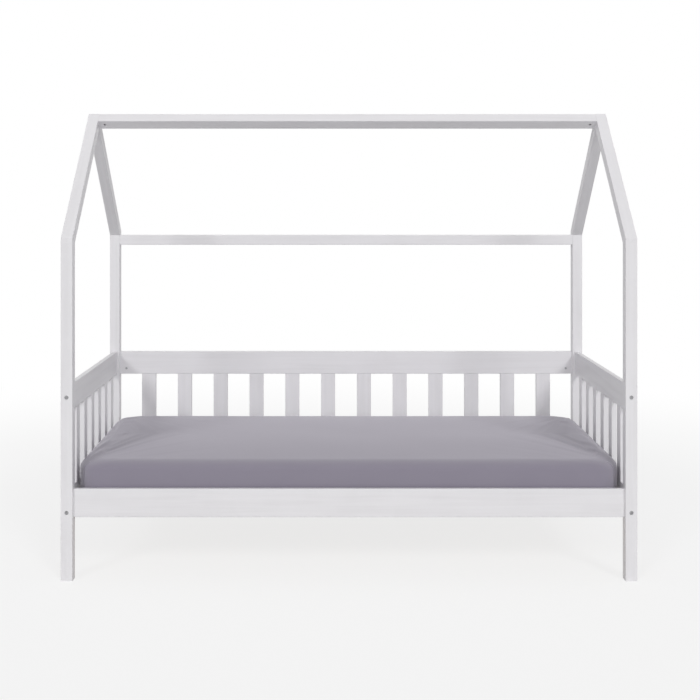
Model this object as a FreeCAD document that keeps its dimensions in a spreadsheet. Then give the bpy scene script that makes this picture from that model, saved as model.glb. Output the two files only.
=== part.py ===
import FreeCAD, Part
import math
import os
import Sketcher

# A child's bed in the shape of a house, in white painted softwood: two gables of posts and
# mitred rafters, joined by a ridge beam, an eave beam, guard rails and a front rail, with a
# slatted base on two ledges and a mattress in a fitted sheet.
# Millimetres. The origin is on the floor under the middle of the bed, +X runs along it to the
# right as seen from the open front, the front faces -Y and +Z is up.

SIZES = {
    # The mattress, which the frame is built round.
    "mattress_length": 2000,
    "mattress_width": 900,
    "mattress_side": 156,
    "mattress_crown": 5,
    "crown_reach": 300,
    "mattress_corner": 80,
    "mattress_least_corner": 40,
    "shoulder_width": 60,
    "shoulder_height": 35,
    "mattress_bottom_round": 18,
    "mattress_draw_in": 2,
    "sheet_thickness": 1,
    "sheet_tuck": 120,
    "soft_clearance": 0.3,
    "end_clearance": 5,
    "side_clearance": 6,
    # Posts and beams share one square section, and rails one thickness.
    "post_side": 43,
    "post_height": 1228,
    "arris_radius": 2.5,
    "rail_thickness": 20,
    "low_rail_height": 103,
    "low_rail_bottom": 229,
    "guard_rail_height": 99,
    "guard_top": 710,
    # Guard slats, tenoned into the rails above and below them.
    "back_slat_count": 12,
    "back_slat_width": 62,
    "end_slat_count": 6,
    "end_slat_width": 52,
    "guard_slat_thickness": 20,
    "tenon_thickness": 10,
    "tenon_length": 15,
    "tenon_shoulder": 9,
    "tenon_clearance": 0.3,
    # The slatted base.
    "ledge_thickness": 28,
    "ledge_height": 28,
    "ledge_rise": 2,
    "ledge_end_clearance": 1,
    "bed_slat_count": 14,
    "bed_slat_width": 70,
    "bed_slat_thickness": 18,
    "bed_slat_end_clearance": 4,
    "base_margin": 25,
    "webbing_width": 25,
    "webbing_thickness": 1.2,
    "webbing_spread": 300,
    # Connector bolts with their barrel nuts.
    "bolt_diameter": 6,
    "bolt_clearance": 1,
    "bolt_past_nut": 8,
    "bolt_end_clearance": 3,
    "head_diameter": 14,
    "head_height": 4,
    "head_recess": 6,
    "head_clearance": 1,
    "key_flats": 4,
    "key_depth": 2.5,
    "nut_diameter": 10,
    "nut_length": 14,
    "nut_clearance": 0.3,
    "nut_thread_clearance": 0.2,
    "nut_slot": 1.4,
    "rail_nut_offset": 28,
    "ridge_nut_offset": 24,
    # Dowels.
    "dowel_diameter": 8,
    "dowel_length": 30,
    "dowel_bevel": 1,
    "dowel_clearance": 0.3,
    "dowel_end_clearance": 0.5,
    # Where the fittings lie, up from a timber's lower edge or down from its upper edge.
    "low_end_bolt_rise": 19,
    "low_end_dowel_drop": 19,
    "low_long_bolt_drop": 34,
    "low_long_dowel_rise": 34,
    "guard_end_bolt_drop": 43,
    "guard_end_dowel_drop": 19,
    "guard_long_bolt_rise": 24,
    "guard_long_dowel_rise": 47,
    "eave_dowel_drop": 12,
    "seat_dowel_spread": 11,
    "mitre_dowel_spread": 10,
    "mitre_dowel_drop": 17,
    "ridge_dowel_spread": 15,
    # Wood screws.
    "screw_diameter": 4,
    "screw_length": 36,
    "screw_clearance": 0.3,
    "screw_end_clearance": 1,
    "screw_head_diameter": 8,
    "screw_head_height": 3,
    "screw_head_recess": 4,
    "screw_cross_width": 1,
    "screw_cross_length": 4,
    "screw_cross_depth": 1.5,
    "ledge_screw_count": 7,
    "ledge_screw_margin": 100,
}

# What follows from the sizes, each worked out once.
FITS = {
    "inner_length": "Size.mattress_length + 2 * Size.end_clearance",
    "half_length": "Fit.inner_length / 2 + Size.post_side",
    "rail_inset": "(Size.post_side - Size.rail_thickness) / 2",
    "inner_width": "Size.mattress_width + 2 * Size.side_clearance",
    "half_width": "Fit.inner_width / 2 + Size.rail_thickness + Fit.rail_inset",
    "end_rail_length": "2 * (Fit.half_width - Size.post_side)",
    "post_middle": "Size.post_side / 2",
    "post_x": "Fit.half_length - Fit.post_middle",
    "post_y": "Fit.half_width - Fit.post_middle",
    # The roof slopes at 45 degrees, so the square ridge beam set on edge fits its apex.
    "nose": "Size.post_side * (sqrt(2) - 1)",
    "half_diagonal": "Size.post_side / sqrt(2)",
    "ridge_rise": "Fit.half_width + Fit.nose - Fit.half_diagonal",
    "ridge_axis": "Size.post_height + Fit.ridge_rise",
    "low_rail_top": "Size.low_rail_bottom + Size.low_rail_height",
    "guard_bottom": "Size.guard_top - Size.guard_rail_height",
    "guard_slat_length": "Fit.guard_bottom - Fit.low_rail_top",
    "back_slat_gap": "(Fit.inner_length - Size.back_slat_count * Size.back_slat_width)"
                     " / (Size.back_slat_count + 1)",
    "back_slat_pitch": "Fit.back_slat_gap + Size.back_slat_width",
    "end_slat_gap": "(Fit.end_rail_length - Size.end_slat_count * Size.end_slat_width)"
                    " / (Size.end_slat_count + 1)",
    "end_slat_pitch": "Fit.end_slat_gap + Size.end_slat_width",
    "mortise_depth": "Size.tenon_length + Size.tenon_clearance",
    "eave_bottom": "Size.post_height - Size.post_side",
    # Fittings: heights above the floor, then holes.
    "low_end_bolt": "Size.low_rail_bottom + Size.low_end_bolt_rise",
    "low_end_dowel": "Fit.low_rail_top - Size.low_end_dowel_drop",
    "low_long_bolt": "Fit.low_rail_top - Size.low_long_bolt_drop",
    "low_long_dowel": "Size.low_rail_bottom + Size.low_long_dowel_rise",
    "guard_end_bolt": "Size.guard_top - Size.guard_end_bolt_drop",
    "guard_end_dowel": "Size.guard_top - Size.guard_end_dowel_drop",
    "guard_long_bolt": "Fit.guard_bottom + Size.guard_long_bolt_rise",
    "guard_long_dowel": "Fit.guard_bottom + Size.guard_long_dowel_rise",
    "eave_bolt": "Fit.eave_bottom + Fit.post_middle",
    "eave_dowel": "Fit.eave_bolt - Size.eave_dowel_drop",
    "mitre_dowel": "Fit.ridge_axis - Size.mitre_dowel_drop",
    "bolt_hole": "Size.bolt_diameter + Size.bolt_clearance",
    "head_hole": "Size.head_diameter + Size.head_clearance",
    "nut_hole": "Size.nut_diameter + Size.nut_clearance",
    "rail_nut_depth": "(Size.rail_thickness + Size.nut_length) / 2 + Size.nut_clearance",
    "beam_nut_depth": "(Size.post_side + Size.nut_length) / 2 + Size.nut_clearance",
    "rail_bolt_length": "Size.post_side - Size.head_recess + Size.rail_nut_offset + Size.bolt_past_nut",
    "rail_bolt_depth": "Size.rail_nut_offset + Size.bolt_past_nut + Size.bolt_end_clearance",
    "ridge_bolt_length": "Size.post_side - Size.head_recess + Size.ridge_nut_offset + Size.bolt_past_nut",
    "ridge_bolt_depth": "Size.ridge_nut_offset + Size.bolt_past_nut + Size.bolt_end_clearance",
    "dowel_hole": "Size.dowel_diameter + Size.dowel_clearance",
    "dowel_depth": "Size.dowel_length / 2 + Size.dowel_end_clearance",
    # The base.
    "ledge_bottom": "Size.low_rail_bottom + Size.ledge_rise",
    "ledge_top": "Fit.ledge_bottom + Size.ledge_height",
    "ledge_length": "Fit.inner_length - 2 * Size.ledge_end_clearance",
    "ledge_y": "Fit.inner_width / 2 - Size.ledge_thickness / 2",
    "bed_slat_length": "Fit.inner_width - 2 * Size.bed_slat_end_clearance",
    "base_length": "Fit.inner_length - 2 * Size.base_margin",
    "bed_slat_pitch": "(Fit.base_length - Size.bed_slat_width) / (Size.bed_slat_count - 1)",
    "base_top": "Fit.ledge_top + Size.bed_slat_thickness",
    "end_slat_x": "Fit.base_length / 2 - Size.bed_slat_width / 2",
    "screw_hole": "Size.screw_diameter + Size.screw_clearance",
    "screw_head_hole": "Size.screw_head_diameter + Size.screw_clearance",
    "rail_pilot_depth": "Size.screw_length + Size.screw_head_recess - Size.ledge_thickness"
                        " + Size.screw_end_clearance",
    "ledge_pilot_depth": "Size.screw_length + Size.screw_head_recess - Size.bed_slat_thickness"
                         " + Size.screw_end_clearance",
    "ledge_screw_pitch": "(Fit.ledge_length - 2 * Size.ledge_screw_margin)"
                         " / (Size.ledge_screw_count - 1)",
}

doc = FreeCAD.newDocument("house_frame_bed")
size = doc.addObject("Spreadsheet::Sheet", "Size")
for row, (alias, number) in enumerate(SIZES.items(), start=1):
    size.set(f"A{row}", alias)
    size.set(f"B{row}", str(number))
    size.setAlias(f"B{row}", alias)
fit = doc.addObject("App::VarSet", "Fit")
for alias, expression in FITS.items():
    fit.addProperty("App::PropertyFloat", alias)
    fit.setExpression(alias, expression)
doc.recompute()

LEFT, RIGHT = -1, 1
FRONT, BACK = -1, 1
X_WAY = FreeCAD.Vector(1, 0, 0)
Y_WAY = FreeCAD.Vector(0, 1, 0)
Z_WAY = FreeCAD.Vector(0, 0, 1)

nodes = {}


def now(expression):
    """An expression's present value."""
    return float(size.evalExpression(expression))


def place(piece, x, y, z, turn=None):
    """Set a piece down, with its place bound to the sizes."""
    if turn:
        piece.Placement = FreeCAD.Placement(FreeCAD.Vector(), turn)
    piece.setExpression("Placement.Base.x", x)
    piece.setExpression("Placement.Base.y", y)
    piece.setExpression("Placement.Base.z", z)


def node(name, piece):
    """Name a finished sub-part."""
    piece.Label = name
    nodes[name] = piece


# ---- Sketches, pads and cuts -----------------------------------------------------------------

# A sketch across X is drawn in Y and Z, one across Y in X and Z, and one across Z in X and Y.
PLANE_ACROSS = {"X": "YZ_Plane", "Y": "XZ_Plane", "Z": "XY_Plane"}
SKETCH_NORMAL = {"X": 1, "Y": -1, "Z": 1}


def sketch_across(body, name, axis, at="0"):
    """A sketch across one of a body's axes, a given way along it."""
    sketch = body.newObject("Sketcher::SketchObject", name)
    plane = next(item for item in body.Origin.OriginFeatures if item.Role == PLANE_ACROSS[axis])
    sketch.AttachmentSupport = [(plane, "")]
    sketch.MapMode = "FlatFace"
    sketch.setExpression("AttachmentOffset.Base.z", f"{SKETCH_NORMAL[axis]} * ({at})")
    return sketch


def hold(sketch, kind, *references, at):
    """Constrain a drawn point or curve to an expression."""
    index = sketch.addConstraint(Sketcher.Constraint(kind, *references, now(at)))
    sketch.setExpression(f"Constraints[{index}]", at)


def draw_outline(sketch, corners):
    """Straight lines round the corners, each corner held at its two coordinates."""
    spots = [FreeCAD.Vector(now(u), now(v), 0) for u, v in corners]
    for start, end in zip(spots, spots[1:] + spots[:1]):
        sketch.addGeometry(Part.LineSegment(start, end), False)
    for line, (u, v) in enumerate(corners):
        after = (line + 1) % len(corners)
        sketch.addConstraint(Sketcher.Constraint("Coincident", line, 2, after, 1))
        hold(sketch, "DistanceX", -1, 1, line, 1, at=u)
        hold(sketch, "DistanceY", -1, 1, line, 1, at=v)


def draw_rectangle(sketch, u, v, width, height):
    """A rectangle from its lower left corner."""
    right = f"{u} + {width}"
    top = f"{v} + {height}"
    draw_outline(sketch, [(u, v), (right, v), (right, top), (u, top)])


def draw_circles(sketch, centres, diameter):
    """Circles of one diameter."""
    for u, v in centres:
        middle = FreeCAD.Vector(now(u), now(v), 0)
        circle = sketch.addGeometry(Part.Circle(middle, Z_WAY, now(diameter) / 2), False)
        hold(sketch, "Diameter", circle, at=diameter)
        hold(sketch, "DistanceX", -1, 1, circle, 3, at=u)
        hold(sketch, "DistanceY", -1, 1, circle, 3, at=v)


def pad(body, sketch, axis, length, towards=1):
    """Add a sketch's outline to a body, along an axis."""
    feature = body.newObject("PartDesign::Pad", "Pad")
    feature.Profile = sketch
    feature.setExpression("Length", length)
    feature.Reversed = towards != SKETCH_NORMAL[axis]
    sketch.recompute()
    feature.recompute()
    return feature


def cut(body, sketch, axis, towards, depth):
    """Take a sketch's outline out of a body, along an axis."""
    feature = body.newObject("PartDesign::Pocket", "Cut")
    feature.Profile = sketch
    feature.setExpression("Length", depth)
    feature.Reversed = towards == SKETCH_NORMAL[axis]
    return feature


def bore(body, name, axis, at, towards, centres, diameter, depth):
    """Drill round holes of one size from a plane across an axis."""
    sketch = sketch_across(body, name, axis, at)
    draw_circles(sketch, centres, diameter)
    return cut(body, sketch, axis, towards, depth)


def repeat(body, feature, sketch_axis, pitch, count):
    """Repeat a cut in a row along one of its sketch's axes."""
    row = body.newObject("PartDesign::LinearPattern", "Row")
    row.Originals = [feature]
    row.Direction = (feature.Profile[0], [sketch_axis])
    row.Mode = "Spacing"
    row.setExpression("Offset", pitch)
    row.setExpression("Occurrences", count)
    body.Tip = row


def ease(body, base, radius, chosen):
    """Round the edges of a feature that a test on their two ends chooses."""
    names = []
    for number, edge in enumerate(base.Shape.Edges, start=1):
        start, end = edge.Vertexes[0].Point, edge.Vertexes[-1].Point
        if chosen(start, end):
            names.append(f"Edge{number}")
    fillet = body.newObject("PartDesign::Fillet", "Arrises")
    fillet.Base = (base, names)
    fillet.setExpression("Radius", radius)


def runs_along(axis):
    """A test for straight edges along an axis."""
    number = "XYZ".index(axis)

    def test(start, end):
        others = [abs(end[other] - start[other]) for other in range(3) if other != number]
        return abs(end[number] - start[number]) > 1 and max(others) < 0.001

    return test


def timber(name, axis, width, height, length):
    """A planed timber along an axis from the corner at its own origin, its long edges eased."""
    body = doc.addObject("PartDesign::Body", name)
    sketch = sketch_across(body, "Section", axis)
    draw_rectangle(sketch, "0", "0", width, height)
    base = pad(body, sketch, axis, length)
    ease(body, base, "Size.arris_radius", runs_along(axis))
    node(name, body)
    return body


# ---- Posts -----------------------------------------------------------------------------------

# Heights of the fittings that come into the posts along the bed: the front has only its low
# rail, and the back has a low rail, the guard's top rail and the eave beam.
LONG_BOLTS = {
    FRONT: ["Fit.low_long_bolt"],
    BACK: ["Fit.low_long_bolt", "Fit.guard_long_bolt", "Fit.eave_bolt"],
}
LONG_DOWELS = {
    FRONT: ["Fit.low_long_dowel"],
    BACK: ["Fit.low_long_dowel", "Fit.guard_long_dowel", "Fit.eave_dowel"],
}
# Heights of those that come in across the bed, from the end guards, the same on every post.
END_BOLTS = ["Fit.low_end_bolt", "Fit.guard_end_bolt"]
END_DOWELS = ["Fit.low_end_dowel", "Fit.guard_end_dowel"]
POST_NAMES = {
    (LEFT, FRONT): "front_left",
    (RIGHT, FRONT): "front_right",
    (LEFT, BACK): "back_left",
    (RIGHT, BACK): "back_right",
}


def bolt_and_dowel_holes(body, axis, outer, bolts, dowels):
    """Recessed bolt holes from a post's outer face, and dowel holes from the face opposite."""
    outer_face = "Size.post_side" if outer > 0 else "0"
    inner_face = "0" if outer > 0 else "Size.post_side"
    bolt_centres = [("Fit.post_middle", height) for height in bolts]
    dowel_centres = [("Fit.post_middle", height) for height in dowels]
    bore(body, "Bolt_holes", axis, outer_face, -outer, bolt_centres, "Fit.bolt_hole", "Size.post_side")
    bore(body, "Head_recesses", axis, outer_face, -outer, bolt_centres, "Fit.head_hole", "Size.head_recess")
    bore(body, "Dowel_holes", axis, inner_face, outer, dowel_centres, "Fit.dowel_hole", "Fit.dowel_depth")


def seat_dowel_centres():
    """The two dowels between a post and its rafter, in the post's section."""
    return [
        ("Fit.post_middle", "Fit.post_middle - Size.seat_dowel_spread"),
        ("Fit.post_middle", "Fit.post_middle + Size.seat_dowel_spread"),
    ]


for (side, face), corner in POST_NAMES.items():
    post = timber(f"{corner}_post", "Z", "Size.post_side", "Size.post_side", "Size.post_height")
    bolt_and_dowel_holes(post, "X", side, LONG_BOLTS[face], LONG_DOWELS[face])
    bolt_and_dowel_holes(post, "Y", face, END_BOLTS, END_DOWELS)
    bore(post, "Seat_dowels", "Z", "Size.post_height", -1, seat_dowel_centres(),
         "Fit.dowel_hole", "Fit.dowel_depth")
    place(post, f"{side} * Fit.post_x - Fit.post_middle", f"{face} * Fit.post_y - Fit.post_middle", "0")


# ---- Rafters ---------------------------------------------------------------------------------

# A rafter is drawn from the outer edge of its seat on the post, rising towards the mitre.
RAFTER_OUTLINE = [
    ("0", "0"),
    ("Size.post_side", "0"),
    ("Fit.half_width", "Fit.half_width - Size.post_side"),
    ("Fit.half_width", "Fit.half_width + Fit.nose"),
    ("0", "Fit.nose"),
]


def is_rafter_arris(start, end):
    """The sloping edges and the two up the nose, but not those round the seat and the mitre."""
    rise = abs(end.z - start.z)
    run = abs(end.y - start.y)
    on_nose = max(abs(start.y), abs(end.y)) < 0.001
    return rise > 1 and (run > 1 or on_nose)


for (side, face), corner in POST_NAMES.items():
    # The back rafters are drawn from the back, turned round, so their sides change over.
    outer = side if face == FRONT else -side
    outer_face = "Size.post_side" if outer > 0 else "0"
    inner_face = "0" if outer > 0 else "Size.post_side"
    rafter = doc.addObject("PartDesign::Body", f"{corner}_rafter")
    profile = sketch_across(rafter, "Profile", "X")
    draw_outline(profile, RAFTER_OUTLINE)
    blank = pad(rafter, profile, "X", "Size.post_side")
    ease(rafter, blank, "Size.arris_radius", is_rafter_arris)
    bore(rafter, "Seat_dowels", "Z", "0", 1, seat_dowel_centres(), "Fit.dowel_hole", "Fit.dowel_depth")
    mitre_dowels = [
        (f"Fit.post_middle + {way} * Size.mitre_dowel_spread", "Fit.ridge_rise - Size.mitre_dowel_drop")
        for way in (-1, 1)
    ]
    bore(rafter, "Mitre_dowels", "Y", "Fit.half_width", -1, mitre_dowels,
         "Fit.dowel_hole", "Fit.dowel_depth")
    # The ridge bolt runs along the mitre, so each rafter has half of its hole.
    apex = [("Fit.half_width", "Fit.ridge_rise")]
    bore(rafter, "Ridge_bolt", "X", outer_face, -outer, apex, "Fit.bolt_hole", "Size.post_side")
    bore(rafter, "Ridge_bolt_head", "X", outer_face, -outer, apex, "Fit.head_hole", "Size.head_recess")
    ridge_dowel = [("Fit.half_width - Size.ridge_dowel_spread", "Fit.ridge_rise")]
    bore(rafter, "Ridge_dowel", "X", inner_face, outer, ridge_dowel, "Fit.dowel_hole", "Fit.dowel_depth")
    turned = FreeCAD.Rotation(Z_WAY, 180 if face == BACK else 0)
    place(rafter, f"{side} * Fit.post_x + {face} * Fit.post_middle", f"{face} * Fit.half_width",
          "Size.post_height", turned)
    node(f"{corner}_rafter", rafter)


# ---- Ridge beam and eave beam ----------------------------------------------------------------

def end_fittings(body, axis, length, bolt, dowels, bolt_depth):
    """A bolt hole and dowel holes into both ends of a timber."""
    for at, towards in (("0", 1), (length, -1)):
        bore(body, "Bolt_hole", axis, at, towards, [bolt], "Fit.bolt_hole", bolt_depth)
        bore(body, "Dowel_holes", axis, at, towards, dowels, "Fit.dowel_hole", "Fit.dowel_depth")


# The ridge beam's section is drawn round its middle and then turned on edge.
ridge = doc.addObject("PartDesign::Body", "ridge_beam")
section = sketch_across(ridge, "Section", "X")
draw_rectangle(section, "-Fit.post_middle", "-Fit.post_middle", "Size.post_side", "Size.post_side")
ease(ridge, pad(ridge, section, "X", "Fit.inner_length"), "Size.arris_radius", runs_along("X"))
level_dowels = [
    (f"{way} * Size.ridge_dowel_spread / sqrt(2)", f"{-way} * Size.ridge_dowel_spread / sqrt(2)")
    for way in (-1, 1)
]
end_fittings(ridge, "X", "Fit.inner_length", ("0", "0"), level_dowels, "Fit.ridge_bolt_depth")
ridge_nuts = [("Size.ridge_nut_offset", "0"), ("Fit.inner_length - Size.ridge_nut_offset", "0")]
bore(ridge, "Nut_holes", "Y", "-Fit.post_middle", 1, ridge_nuts, "Fit.nut_hole", "Fit.beam_nut_depth")
place(ridge, "-Fit.inner_length / 2", "0", "Fit.ridge_axis", FreeCAD.Rotation(X_WAY, 45))
node("ridge_beam", ridge)

eave = timber("eave_beam", "X", "Size.post_side", "Size.post_side", "Fit.inner_length")
end_fittings(eave, "X", "Fit.inner_length", ("Fit.post_middle", "Fit.post_middle"),
             [("Fit.post_middle", "Fit.post_middle - Size.eave_dowel_drop")], "Fit.rail_bolt_depth")
eave_nuts = [
    ("Size.rail_nut_offset", "Fit.post_middle"),
    ("Fit.inner_length - Size.rail_nut_offset", "Fit.post_middle"),
]
bore(eave, "Nut_holes", "Z", "0", 1, eave_nuts, "Fit.nut_hole", "Fit.beam_nut_depth")
place(eave, "-Fit.inner_length / 2", "Fit.half_width - Size.post_side", "Fit.eave_bottom")


# ---- Rails -----------------------------------------------------------------------------------

def rail(name, axis, length, height, bolt, dowel, nut_face, nut_towards):
    """A rail along an axis: its end fittings, and the nut holes from one of its faces."""
    body = timber(name, axis, "Size.rail_thickness", height, length)
    middle = "Size.rail_thickness / 2"
    end_fittings(body, axis, length, (middle, bolt), [(middle, dowel)], "Fit.rail_bolt_depth")
    nuts = [("Size.rail_nut_offset", bolt), (f"{length} - Size.rail_nut_offset", bolt)]
    bore(body, "Nut_holes", "Y" if axis == "X" else "X", nut_face, nut_towards, nuts,
         "Fit.nut_hole", "Fit.rail_nut_depth")
    return body


def mortises(body, axis, at, towards, gap, slat_width, pitch, count):
    """A row of mortises for the slats' tenons, in a rail's upper or lower edge."""
    sketch = sketch_across(body, "Mortise", "Z", at)
    along = f"{gap} + Size.tenon_shoulder - Size.tenon_clearance"
    across = "(Size.rail_thickness - Size.tenon_thickness) / 2 - Size.tenon_clearance"
    long_side = f"{slat_width} - 2 * Size.tenon_shoulder + 2 * Size.tenon_clearance"
    short_side = "Size.tenon_thickness + 2 * Size.tenon_clearance"
    if axis == "X":
        draw_rectangle(sketch, along, across, long_side, short_side)
    else:
        draw_rectangle(sketch, across, along, short_side, long_side)
    first = cut(body, sketch, "Z", towards, "Fit.mortise_depth")
    repeat(body, first, "H_Axis" if axis == "X" else "V_Axis", pitch, count)


def guard_slat(name, width):
    """A slat with a stub tenon at each end, drawn upright round its middle line."""
    body = doc.addObject("PartDesign::Body", name)
    plank = sketch_across(body, "Plank", "Z")
    draw_rectangle(plank, f"-{width} / 2", "-Size.guard_slat_thickness / 2",
                   width, "Size.guard_slat_thickness")
    ease(body, pad(body, plank, "Z", "Fit.guard_slat_length"), "Size.arris_radius", runs_along("Z"))
    tenons = sketch_across(body, "Tenons", "Z", "-Size.tenon_length")
    draw_rectangle(tenons, f"Size.tenon_shoulder - {width} / 2", "-Size.tenon_thickness / 2",
                   f"{width} - 2 * Size.tenon_shoulder", "Size.tenon_thickness")
    pad(body, tenons, "Z", "Fit.guard_slat_length + 2 * Size.tenon_length")
    node(name, body)
    return body


LOW_BOLT = "Size.low_rail_height - Size.low_long_bolt_drop"
LOW_DOWEL = "Size.low_long_dowel_rise"
PILOT_HEIGHT = "Size.ledge_rise + Size.ledge_height / 2"


def pilot_holes(body, at, towards):
    """Pilot holes in a long rail for the screws that hold its ledge."""
    first = [("Size.ledge_end_clearance + Size.ledge_screw_margin", PILOT_HEIGHT)]
    pilot = bore(body, "Pilot_hole", "Y", at, towards, first, "Fit.screw_hole", "Fit.rail_pilot_depth")
    repeat(body, pilot, "H_Axis", "Fit.ledge_screw_pitch", "Size.ledge_screw_count")


front_rail = rail("front_rail", "X", "Fit.inner_length", "Size.low_rail_height",
                  LOW_BOLT, LOW_DOWEL, "Size.rail_thickness", -1)
pilot_holes(front_rail, "Size.rail_thickness", -1)
place(front_rail, "-Fit.inner_length / 2", "Fit.rail_inset - Fit.half_width", "Size.low_rail_bottom")

back_low = rail("back_bottom_rail", "X", "Fit.inner_length", "Size.low_rail_height",
                LOW_BOLT, LOW_DOWEL, "0", 1)
pilot_holes(back_low, "0", 1)
mortises(back_low, "X", "Size.low_rail_height", -1,
         "Fit.back_slat_gap", "Size.back_slat_width", "Fit.back_slat_pitch", "Size.back_slat_count")
place(back_low, "-Fit.inner_length / 2", "Fit.inner_width / 2", "Size.low_rail_bottom")

back_top = rail("back_guard_top_rail", "X", "Fit.inner_length", "Size.guard_rail_height",
                "Size.guard_long_bolt_rise", "Size.guard_long_dowel_rise", "0", 1)
mortises(back_top, "X", "0", 1,
         "Fit.back_slat_gap", "Size.back_slat_width", "Fit.back_slat_pitch", "Size.back_slat_count")
place(back_top, "-Fit.inner_length / 2", "Fit.inner_width / 2", "Fit.guard_bottom")

for index in range(int(now("Size.back_slat_count"))):
    slat = guard_slat(f"back_guard_slat_{index + 1:02d}", "Size.back_slat_width")
    place(slat, f"Fit.back_slat_gap + Size.back_slat_width / 2 - Fit.inner_length / 2"
                f" + {index} * Fit.back_slat_pitch", "Fit.post_y", "Fit.low_rail_top")

for side, end in ((LEFT, "left"), (RIGHT, "right")):
    # The nut holes are in the outer faces, out of sight from inside the bed.
    outer_face = "Size.rail_thickness" if side > 0 else "0"
    low = rail(f"{end}_guard_bottom_rail", "Y", "Fit.end_rail_length", "Size.low_rail_height",
               "Size.low_end_bolt_rise", "Size.low_rail_height - Size.low_end_dowel_drop",
               outer_face, -side)
    mortises(low, "Y", "Size.low_rail_height", -1,
             "Fit.end_slat_gap", "Size.end_slat_width", "Fit.end_slat_pitch", "Size.end_slat_count")
    top = rail(f"{end}_guard_top_rail", "Y", "Fit.end_rail_length", "Size.guard_rail_height",
               "Size.guard_rail_height - Size.guard_end_bolt_drop",
               "Size.guard_rail_height - Size.guard_end_dowel_drop", outer_face, -side)
    mortises(top, "Y", "0", 1,
             "Fit.end_slat_gap", "Size.end_slat_width", "Fit.end_slat_pitch", "Size.end_slat_count")
    rail_x = f"{side} * Fit.post_x - Size.rail_thickness / 2"
    place(low, rail_x, "-Fit.end_rail_length / 2", "Size.low_rail_bottom")
    place(top, rail_x, "-Fit.end_rail_length / 2", "Fit.guard_bottom")
    for index in range(int(now("Size.end_slat_count"))):
        slat = guard_slat(f"{end}_guard_slat_{index + 1}", "Size.end_slat_width")
        slat_y = (f"Fit.end_slat_gap + Size.end_slat_width / 2 - Fit.end_rail_length / 2"
                  f" + {index} * Fit.end_slat_pitch")
        place(slat, f"{side} * Fit.post_x", slat_y, "Fit.low_rail_top", FreeCAD.Rotation(Z_WAY, 90))


# ---- Ledges ----------------------------------------------------------------------------------

for face, name in ((FRONT, "front_ledge"), (BACK, "back_ledge")):
    ledge = timber(name, "X", "Size.ledge_thickness", "Size.ledge_height", "Fit.ledge_length")
    inner_face = "Size.ledge_thickness" if face == FRONT else "0"
    slat_screw_x = [
        f"Fit.ledge_length / 2 + {way} * Fit.end_slat_x" for way in (-1, 1)
    ]
    bore(ledge, "Slat_screws", "Z", "Size.ledge_height", -1,
         [(x, "Size.ledge_thickness / 2") for x in slat_screw_x],
         "Fit.screw_hole", "Fit.ledge_pilot_depth")
    first = [("Size.ledge_screw_margin", "Size.ledge_height / 2")]
    hole = bore(ledge, "Screw_hole", "Y", inner_face, face, first, "Fit.screw_hole", "Size.ledge_thickness")
    repeat(ledge, hole, "H_Axis", "Fit.ledge_screw_pitch", "Size.ledge_screw_count")
    recess = bore(ledge, "Screw_head", "Y", inner_face, face, first,
                  "Fit.screw_head_hole", "Size.screw_head_recess")
    repeat(ledge, recess, "H_Axis", "Fit.ledge_screw_pitch", "Size.ledge_screw_count")
    place(ledge, "-Fit.ledge_length / 2", f"{face} * Fit.ledge_y - Size.ledge_thickness / 2",
          "Fit.ledge_bottom")


# ---- Groups of like pieces -------------------------------------------------------------------

def group(name, places):
    """One node of like pieces: a copy of a pattern piece at each place."""
    copies = []
    for number, (pattern, x, y, z, turn) in enumerate(places, start=1):
        copy = doc.addObject("App::Link", f"{name}_{number}")
        copy.LinkedObject = pattern
        place(copy, x, y, z, turn)
        copies.append(copy)
    compound = doc.addObject("Part::Compound", name)
    compound.Links = copies
    node(name, compound)


def pointing(direction):
    """Turn a piece that is drawn up Z to point another way."""
    return FreeCAD.Rotation(Z_WAY, direction)


# Bed slats lie across the ledges, and the first and last are screwed down.
def bed_slat(name, screwed):
    """A plain slat, drawn along Y round its middle, with its underside at zero."""
    body = doc.addObject("PartDesign::Body", name)
    sketch = sketch_across(body, "Section", "Y", "-Fit.bed_slat_length / 2")
    draw_rectangle(sketch, "-Size.bed_slat_width / 2", "0", "Size.bed_slat_width",
                   "Size.bed_slat_thickness")
    ease(body, pad(body, sketch, "Y", "Fit.bed_slat_length"), "Size.arris_radius", runs_along("Y"))
    if screwed:
        ends = [("0", "-Fit.ledge_y"), ("0", "Fit.ledge_y")]
        bore(body, "Screw_holes", "Z", "Size.bed_slat_thickness", -1, ends,
             "Fit.screw_hole", "Size.bed_slat_thickness")
        bore(body, "Screw_heads", "Z", "Size.bed_slat_thickness", -1, ends,
             "Fit.screw_head_hole", "Size.screw_head_recess")
    return body


plain_slat = bed_slat("plain_bed_slat", False)
screwed_slat = bed_slat("screwed_bed_slat", True)
slat_places = []
last_slat = int(now("Size.bed_slat_count")) - 1
for index in range(last_slat + 1):
    pattern = screwed_slat if index in (0, last_slat) else plain_slat
    slat_places.append((pattern, f"{index} * Fit.bed_slat_pitch - Fit.end_slat_x", "0",
                        "Fit.ledge_top", None))
group("bed_slats", slat_places)

# Two bands under the slats keep them at their spacing.
bands = []
for way in (-1, 1):
    band = doc.addObject("Part::Box", "webbing_band")
    band.setExpression("Length", "Fit.base_length")
    band.setExpression("Width", "Size.webbing_width")
    band.setExpression("Height", "Size.webbing_thickness")
    place(band, "-Fit.base_length / 2", f"{way} * Size.webbing_spread - Size.webbing_width / 2",
          "Fit.ledge_top - Size.webbing_thickness")
    bands.append(band)
webbing = doc.addObject("Part::Compound", "slat_webbing")
webbing.Links = bands
node("slat_webbing", webbing)


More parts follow.
